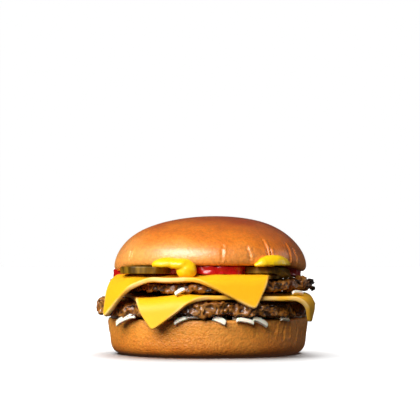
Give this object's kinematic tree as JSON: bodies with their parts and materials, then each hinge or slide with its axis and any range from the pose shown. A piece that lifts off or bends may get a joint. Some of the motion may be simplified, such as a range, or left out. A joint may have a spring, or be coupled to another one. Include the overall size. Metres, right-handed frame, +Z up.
{
  "type": "double cheeseburger",
  "caption": "Stacked double cheeseburger: beef patties, draped cheese slices, gherkin, ketchup, mustard and chopped onion in a round bun.",
  "frame": {"origin": "centre of the heel bun's flat underside", "axes": "+Z up through the stack, -Y towards the front, where most of the toppings show, +X to the right seen from the front"},
  "size_m": [0.1049, 0.1043, 0.0658],
  "materials": {
    "bun_crust": "satin",
    "grilled_beef": "satin",
    "processed_cheese": "satin",
    "gherkin": "gloss",
    "tomato_ketchup": "gloss",
    "yellow_mustard": "gloss",
    "chopped_onion": "satin"
  },
  "bodies": {
    "root": {"heel_bun": "bun_crust", "onion_layer": "chopped_onion", "lower_patty": "grilled_beef", "lower_cheese": "processed_cheese", "upper_patty": "grilled_beef", "upper_cheese": "processed_cheese", "pickle_front_left": "gherkin", "pickle_front_right": "gherkin", "pickle_back_right": "gherkin", "pickle_back_left": "gherkin", "ketchup": "tomato_ketchup", "mustard_front_left": "yellow_mustard", "mustard_front_right": "yellow_mustard", "mustard_back": "yellow_mustard", "crown_bun": "bun_crust"}
  },
  "joints": []
}
